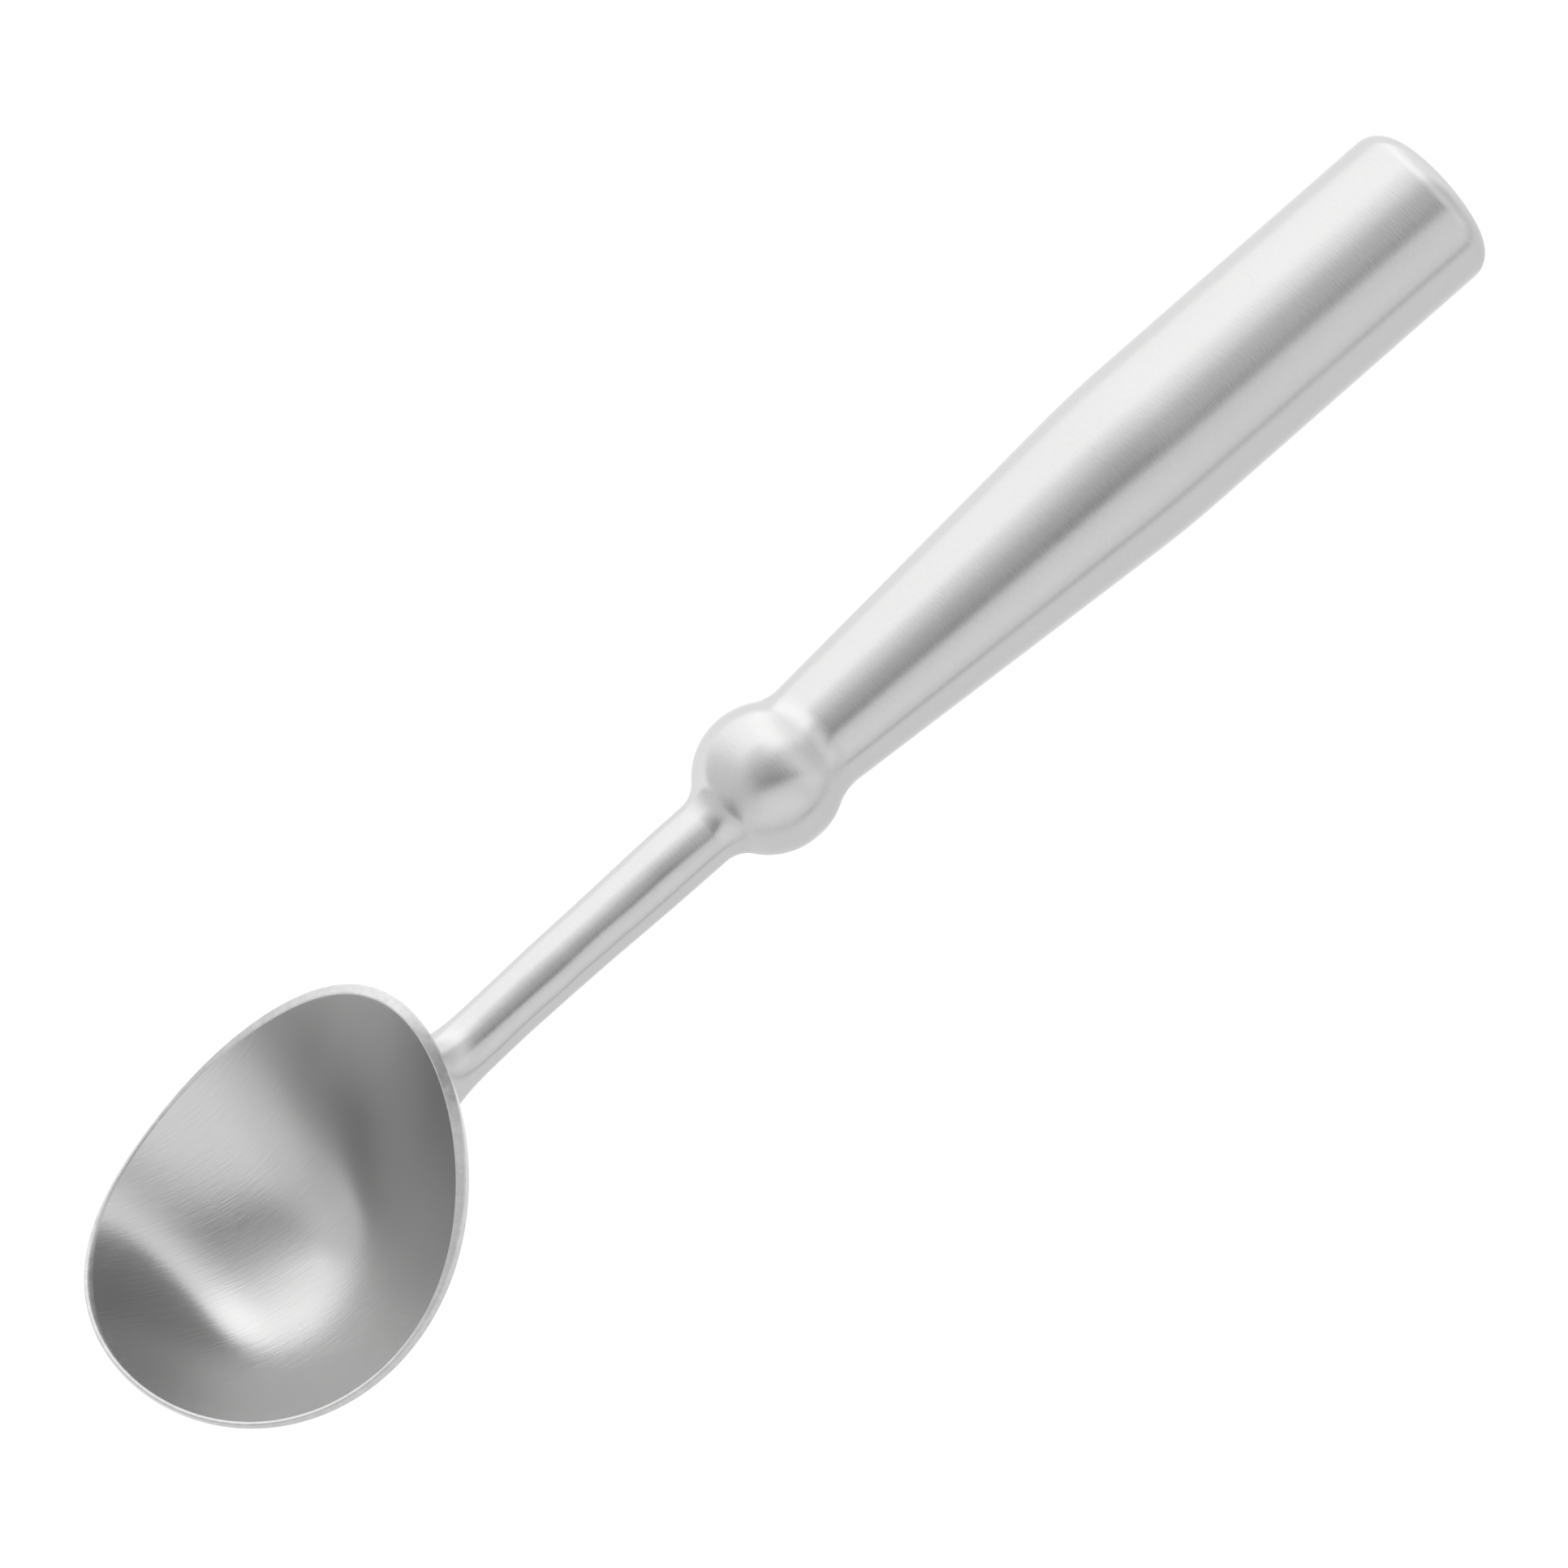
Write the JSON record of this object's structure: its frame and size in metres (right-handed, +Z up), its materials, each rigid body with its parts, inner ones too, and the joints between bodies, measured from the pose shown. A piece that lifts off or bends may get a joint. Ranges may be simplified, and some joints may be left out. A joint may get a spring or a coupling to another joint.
{
  "type": "ice cream scoop",
  "caption": "Stainless ice cream scoop: a deep egg-shaped bowl with a high heel on a round stem, let into a hollow tapered handle with a ball at its nose and a rounded flat rear.",
  "frame": {"origin": "middle of the bottom of the bounding box, on the table the scoop rests on", "axes": "+X from the bowl to the handle's end, +Z up, out of the bowl's opening; the scoop lies with the bowl's belly and the handle's rear edge on z = 0"},
  "size_m": [0.2218, 0.0464, 0.0368],
  "materials": {
    "bowl_steel": "satin, brushed lengthwise inside, ground rim",
    "stem_steel": "satin, brushed around",
    "bowl_weld_steel": "satin, ground and blended fillet",
    "handle_steel": "satin, brushed around",
    "nose_weld_steel": "satin, ground and blended fillet",
    "end_cap_steel": "satin, brushed around",
    "cap_weld_steel": "satin, ground flush and brushed around"
  },
  "bodies": {
    "root": {"bowl": "bowl_steel", "stem": "stem_steel", "bowl_weld": "bowl_weld_steel", "handle_shell": "handle_steel", "nose_weld": "nose_weld_steel", "end_cap": "end_cap_steel", "cap_weld": "cap_weld_steel"}
  },
  "joints": []
}
